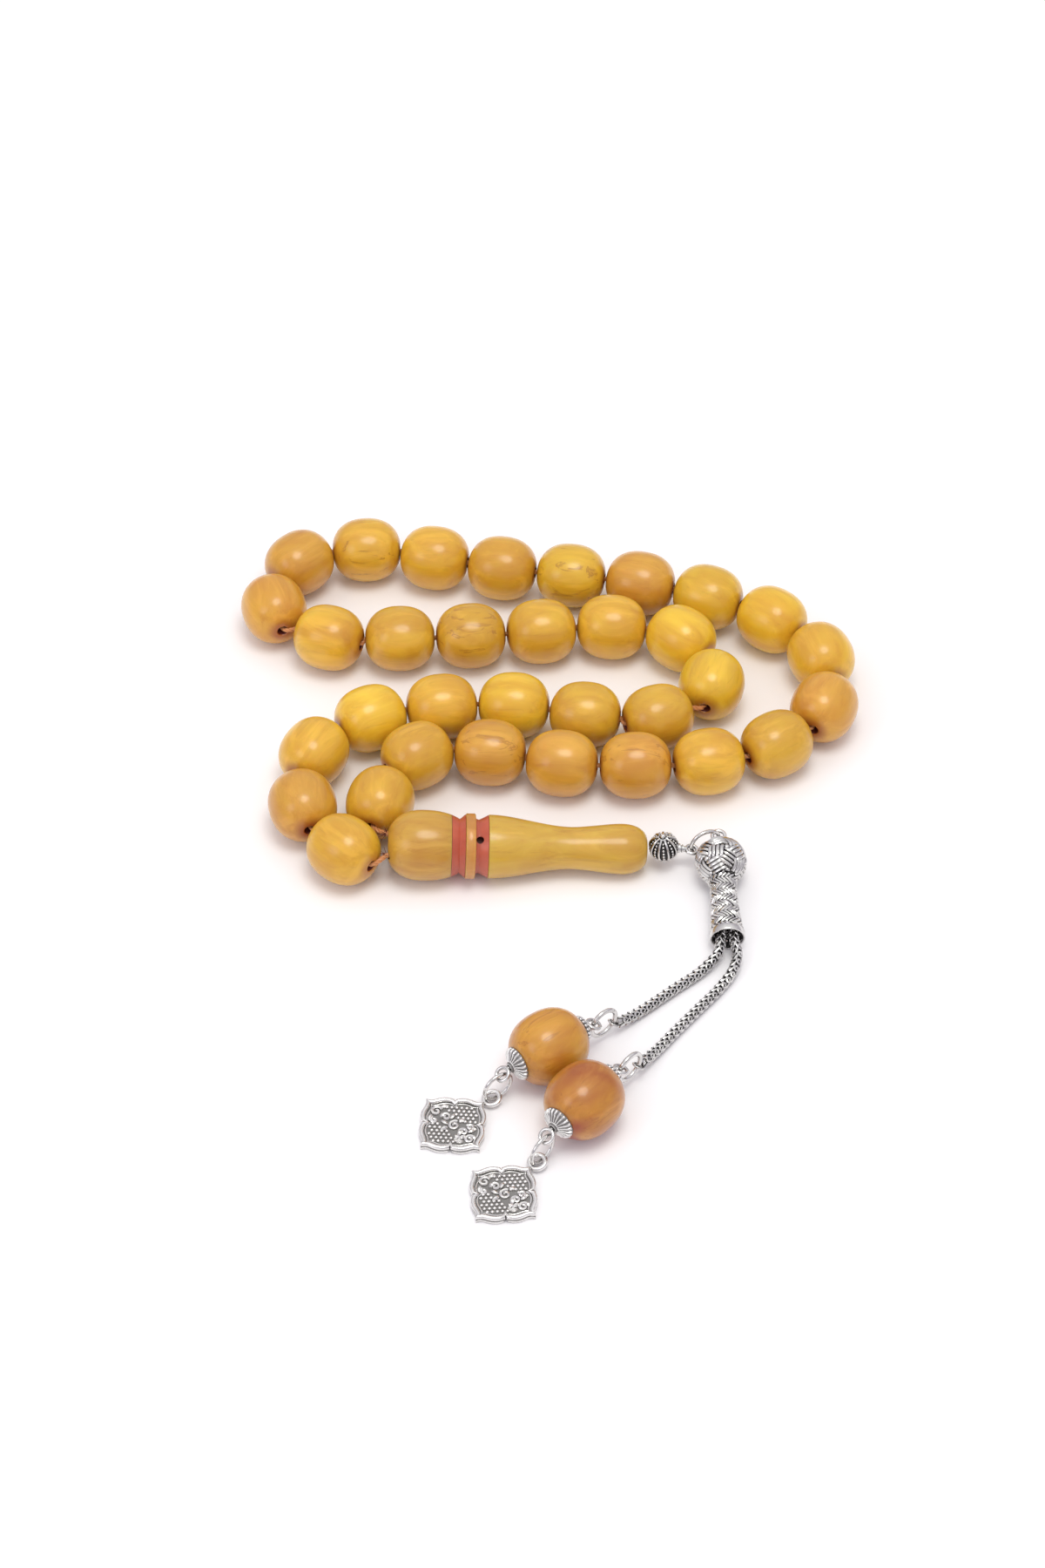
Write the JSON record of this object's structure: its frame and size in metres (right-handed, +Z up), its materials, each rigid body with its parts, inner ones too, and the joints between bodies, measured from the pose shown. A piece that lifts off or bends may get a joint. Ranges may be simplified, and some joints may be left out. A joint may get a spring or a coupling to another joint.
{
  "type": "prayer beads",
  "caption": "Misbaha prayer beads: loop of amber barrel beads on a cord, turned leader bead, and a silver tassel of chains, beads and pendants.",
  "frame": {"origin": "centre of the bounding box at the surface the strand lies on", "axes": "+X along the leader bead towards the tassel, +Y from the tassel towards the looped beads, +Z up from the surface"},
  "size_m": [0.1128, 0.1596, 0.0124],
  "materials": {
    "amber": "polished amber resin, slightly cloudy",
    "coral": "polished brick red resin",
    "silver": "antiqued silver, darkened in the hollows",
    "cord": "shiny twisted synthetic cord"
  },
  "bodies": {
    "strand": {"leader_barrel": "amber", "leader_collar_1": "coral", "leader_disc": "amber", "leader_collar_2": "coral", "leader_body": "amber", "stringing_cord": "cord"},
    "silver_ball": {"silver_ball": "silver"},
    "jump_ring": {"jump_ring": "silver"},
    "tassel_head": {"woven_ball": "silver", "woven_sleeve": "silver", "head_pin": "silver"},
    "chain_1": {"chain_1": "silver"},
    "end_ring_1": {"end_ring_1": "silver"},
    "bead_pin_1": {"bead_pin_1": "silver", "upper_cap_1": "silver", "lower_cap_1": "silver"},
    "tassel_bead_1": {"tassel_bead_1": "amber"},
    "pendant_ring_1": {"pendant_ring_1": "silver"},
    "pendant_1": {"pendant_1": "silver"},
    "chain_2": {"chain_2": "silver"},
    "end_ring_2": {"end_ring_2": "silver"},
    "bead_pin_2": {"bead_pin_2": "silver", "upper_cap_2": "silver", "lower_cap_2": "silver"},
    "tassel_bead_2": {"tassel_bead_2": "amber"},
    "pendant_ring_2": {"pendant_ring_2": "silver"},
    "pendant_2": {"pendant_2": "silver"},
    "bead_01": {"bead_01": "amber"},
    "bead_02": {"bead_02": "amber"},
    "bead_03": {"bead_03": "amber"},
    "bead_04": {"bead_04": "amber"},
    "bead_05": {"bead_05": "amber"},
    "bead_06": {"bead_06": "amber"},
    "bead_07": {"bead_07": "amber"},
    "bead_08": {"bead_08": "amber"},
    "bead_09": {"bead_09": "amber"},
    "bead_10": {"bead_10": "amber"},
    "bead_11": {"bead_11": "amber"},
    "bead_12": {"bead_12": "amber"},
    "bead_13": {"bead_13": "amber"},
    "bead_14": {"bead_14": "amber"},
    "bead_15": {"bead_15": "amber"},
    "bead_16": {"bead_16": "amber"},
    "bead_17": {"bead_17": "amber"},
    "bead_18": {"bead_18": "amber"},
    "bead_19": {"bead_19": "amber"},
    "bead_20": {"bead_20": "amber"},
    "bead_21": {"bead_21": "amber"},
    "bead_22": {"bead_22": "amber"},
    "bead_23": {"bead_23": "amber"},
    "bead_24": {"bead_24": "amber"},
    "bead_25": {"bead_25": "amber"},
    "bead_26": {"bead_26": "amber"},
    "bead_27": {"bead_27": "amber"},
    "bead_28": {"bead_28": "amber"},
    "bead_29": {"bead_29": "amber"},
    "bead_30": {"bead_30": "amber"},
    "bead_31": {"bead_31": "amber"},
    "bead_32": {"bead_32": "amber"},
    "bead_33": {"bead_33": "amber"}
  },
  "joints": [
    {"name": "silver_ball_twist", "type": "hinge", "parent": "strand", "child": "silver_ball", "pos_m": [0.01737, -0.00154, 0.00418], "axis": [-0.9847, -0.1507, -0.0872], "range_deg": [0, 80]},
    {"name": "jump_ring_swing", "type": "hinge", "parent": "silver_ball", "child": "jump_ring", "pos_m": [0.02521, -0.00109, 0.00366], "axis": [0, 0, 1], "range_deg": [-15, 20]},
    {"name": "tassel_head_swing", "type": "hinge", "parent": "jump_ring", "child": "tassel_head", "pos_m": [0.02993, 0.00091, 0.00504], "axis": [0, 0, 1], "range_deg": [0, 25]},
    {"name": "chain_1_swing", "type": "hinge", "parent": "tassel_head", "child": "chain_1", "pos_m": [0.02942, -0.01738, 0.00341], "axis": [0, 0, -1], "range_deg": [0, 6]},
    {"name": "end_ring_1_swing", "type": "hinge", "parent": "chain_1", "child": "end_ring_1", "pos_m": [0.0107, -0.03993, 0.00274], "axis": [0, 0, -1], "range_deg": [0, 12]},
    {"name": "bead_pin_1_swing", "type": "hinge", "parent": "end_ring_1", "child": "bead_pin_1", "pos_m": [0.00749, -0.04262, 0.00571], "axis": [0, 0, -1], "range_deg": [0, 20]},
    {"name": "tassel_bead_1_spin", "type": "hinge", "parent": "bead_pin_1", "child": "tassel_bead_1", "pos_m": [0.00007, -0.04782, 0.0062], "axis": [-0.8192, -0.5736, 0], "continuous": true},
    {"name": "pendant_ring_1_swing", "type": "hinge", "parent": "bead_pin_1", "child": "pendant_ring_1", "pos_m": [-0.00838, -0.05373, 0.00488], "axis": [-0.5736, 0.8192, 0], "range_deg": [0, 60]},
    {"name": "pendant_1_swing", "type": "hinge", "parent": "pendant_ring_1", "child": "pendant_1", "pos_m": [-0.00838, -0.05373, 0.00128], "axis": [0, 0, 1], "range_deg": [-15, 5]},
    {"name": "chain_2_swing", "type": "hinge", "parent": "tassel_head", "child": "chain_2", "pos_m": [0.03171, -0.0173, 0.00341], "axis": [0, 0, 1], "range_deg": [0, 6]},
    {"name": "end_ring_2_swing", "type": "hinge", "parent": "chain_2", "child": "end_ring_2", "pos_m": [0.0147, -0.04933, 0.00274], "axis": [0, 0, 1], "range_deg": [0, 12]},
    {"name": "bead_pin_2_swing", "type": "hinge", "parent": "end_ring_2", "child": "bead_pin_2", "pos_m": [0.01179, -0.05234, 0.00571], "axis": [0, 0, 1], "range_deg": [0, 20]},
    {"name": "tassel_bead_2_spin", "type": "hinge", "parent": "bead_pin_2", "child": "tassel_bead_2", "pos_m": [0.00578, -0.05913, 0.0062], "axis": [-0.6626, -0.749, 0], "continuous": true},
    {"name": "pendant_ring_2_swing", "type": "hinge", "parent": "bead_pin_2", "child": "pendant_ring_2", "pos_m": [-0.00104, -0.06685, 0.00488], "axis": [-0.749, 0.6626, 0], "range_deg": [0, 60]},
    {"name": "pendant_2_swing", "type": "hinge", "parent": "pendant_ring_2", "child": "pendant_2", "pos_m": [-0.00104, -0.06685, 0.00128], "axis": [0, 0, 1], "range_deg": [-10, 10]},
    {"name": "bead_01_spin", "type": "hinge", "parent": "strand", "child": "bead_01", "pos_m": [-0.03533, -0.0032, 0.006], "axis": [-0.777, 0.6295, 0], "continuous": true},
    {"name": "bead_02_spin", "type": "hinge", "parent": "strand", "child": "bead_02", "pos_m": [-0.04292, 0.00742, 0.006], "axis": [-0.2495, 0.9684, 0], "continuous": true},
    {"name": "bead_03_spin", "type": "hinge", "parent": "strand", "child": "bead_03", "pos_m": [-0.04141, 0.02039, 0.006], "axis": [0.4646, 0.8855, 0], "continuous": true},
    {"name": "bead_04_spin", "type": "hinge", "parent": "strand", "child": "bead_04", "pos_m": [-0.0316, 0.02899, 0.006], "axis": [0.891, 0.454, 0], "continuous": true},
    {"name": "bead_05_spin", "type": "hinge", "parent": "strand", "child": "bead_05", "pos_m": [-0.01885, 0.03188, 0.006], "axis": [0.9919, 0.127, 0], "continuous": true},
    {"name": "bead_06_spin", "type": "hinge", "parent": "strand", "child": "bead_06", "pos_m": [-0.00584, 0.03229, 0.006], "axis": [0.997, -0.0768, 0], "continuous": true},
    {"name": "bead_07_spin", "type": "hinge", "parent": "strand", "child": "bead_07", "pos_m": [0.00699, 0.02989, 0.006], "axis": [0.9931, -0.1171, 0], "continuous": true},
    {"name": "bead_08_spin", "type": "hinge", "parent": "strand", "child": "bead_08", "pos_m": [0.02004, 0.02923, 0.006], "axis": [0.947, 0.3211, 0], "continuous": true},
    {"name": "bead_09_spin", "type": "hinge", "parent": "strand", "child": "bead_09", "pos_m": [0.02997, 0.03768, 0.006], "axis": [0.2269, 0.9739, 0], "continuous": true},
    {"name": "bead_10_spin", "type": "hinge", "parent": "strand", "child": "bead_10", "pos_m": [0.0248, 0.04967, 0.006], "axis": [-0.7642, 0.645, 0], "continuous": true},
    {"name": "bead_11_spin", "type": "hinge", "parent": "strand", "child": "bead_11", "pos_m": [0.01211, 0.05275, 0.006], "axis": [-0.9973, 0.0741, 0], "continuous": true},
    {"name": "bead_12_spin", "type": "hinge", "parent": "strand", "child": "bead_12", "pos_m": [-0.00084, 0.05158, 0.006], "axis": [-0.9959, -0.0899, 0], "continuous": true},
    {"name": "bead_13_spin", "type": "hinge", "parent": "strand", "child": "bead_13", "pos_m": [-0.01381, 0.05041, 0.006], "axis": [-0.9974, -0.0722, 0], "continuous": true},
    {"name": "bead_14_spin", "type": "hinge", "parent": "strand", "child": "bead_14", "pos_m": [-0.0268, 0.0497, 0.006], "axis": [-0.9998, -0.019, 0], "continuous": true},
    {"name": "bead_15_spin", "type": "hinge", "parent": "strand", "child": "bead_15", "pos_m": [-0.03983, 0.04992, 0.006], "axis": [-0.9462, 0.3236, 0], "continuous": true},
    {"name": "bead_16_spin", "type": "hinge", "parent": "strand", "child": "bead_16", "pos_m": [-0.05028, 0.05773, 0.006], "axis": [-0.2976, 0.9547, 0], "continuous": true},
    {"name": "bead_17_spin", "type": "hinge", "parent": "strand", "child": "bead_17", "pos_m": [-0.04612, 0.07012, 0.006], "axis": [0.7193, 0.6947, 0], "continuous": true},
    {"name": "bead_18_spin", "type": "hinge", "parent": "strand", "child": "bead_18", "pos_m": [-0.03362, 0.07382, 0.006], "axis": [0.9984, 0.0561, 0], "continuous": true},
    {"name": "bead_19_spin", "type": "hinge", "parent": "strand", "child": "bead_19", "pos_m": [-0.02076, 0.07154, 0.006], "axis": [0.9805, -0.1964, 0], "continuous": true},
    {"name": "bead_20_spin", "type": "hinge", "parent": "strand", "child": "bead_20", "pos_m": [-0.00808, 0.0687, 0.006], "axis": [0.9824, -0.1867, 0], "continuous": true},
    {"name": "bead_21_spin", "type": "hinge", "parent": "strand", "child": "bead_21", "pos_m": [0.00479, 0.06669, 0.006], "axis": [0.9871, -0.1601, 0], "continuous": true},
    {"name": "bead_22_spin", "type": "hinge", "parent": "strand", "child": "bead_22", "pos_m": [0.01767, 0.06452, 0.006], "axis": [0.9742, -0.2257, 0], "continuous": true},
    {"name": "bead_23_spin", "type": "hinge", "parent": "strand", "child": "bead_23", "pos_m": [0.03016, 0.06081, 0.006], "axis": [0.9265, -0.3762, 0], "continuous": true},
    {"name": "bead_24_spin", "type": "hinge", "parent": "strand", "child": "bead_24", "pos_m": [0.04174, 0.05475, 0.006], "axis": [0.7832, -0.6217, 0], "continuous": true},
    {"name": "bead_25_spin", "type": "hinge", "parent": "strand", "child": "bead_25", "pos_m": [0.05022, 0.04489, 0.006], "axis": [0.3417, -0.9398, 0], "continuous": true},
    {"name": "bead_26_spin", "type": "hinge", "parent": "strand", "child": "bead_26", "pos_m": [0.05005, 0.03188, 0.006], "axis": [-0.3782, -0.9257, 0], "continuous": true},
    {"name": "bead_27_spin", "type": "hinge", "parent": "strand", "child": "bead_27", "pos_m": [0.04106, 0.02247, 0.006], "axis": [-0.8393, -0.5437, 0], "continuous": true},
    {"name": "bead_28_spin", "type": "hinge", "parent": "strand", "child": "bead_28", "pos_m": [0.02877, 0.0181, 0.006], "axis": [-0.9789, -0.2044, 0], "continuous": true},
    {"name": "bead_29_spin", "type": "hinge", "parent": "strand", "child": "bead_29", "pos_m": [0.01576, 0.01718, 0.006], "axis": [-0.9999, -0.0154, 0], "continuous": true},
    {"name": "bead_30_spin", "type": "hinge", "parent": "strand", "child": "bead_30", "pos_m": [0.0027, 0.01769, 0.006], "axis": [-0.9925, 0.1219, 0], "continuous": true},
    {"name": "bead_31_spin", "type": "hinge", "parent": "strand", "child": "bead_31", "pos_m": [-0.01004, 0.02035, 0.006], "axis": [-0.9974, 0.0719, 0], "continuous": true},
    {"name": "bead_32_spin", "type": "hinge", "parent": "strand", "child": "bead_32", "pos_m": [-0.02305, 0.01955, 0.006], "axis": [-0.8445, -0.5355, 0], "continuous": true},
    {"name": "bead_33_spin", "type": "hinge", "parent": "strand", "child": "bead_33", "pos_m": [-0.0293, 0.00814, 0.006], "axis": [-0.2323, -0.9726, 0], "continuous": true}
  ]
}
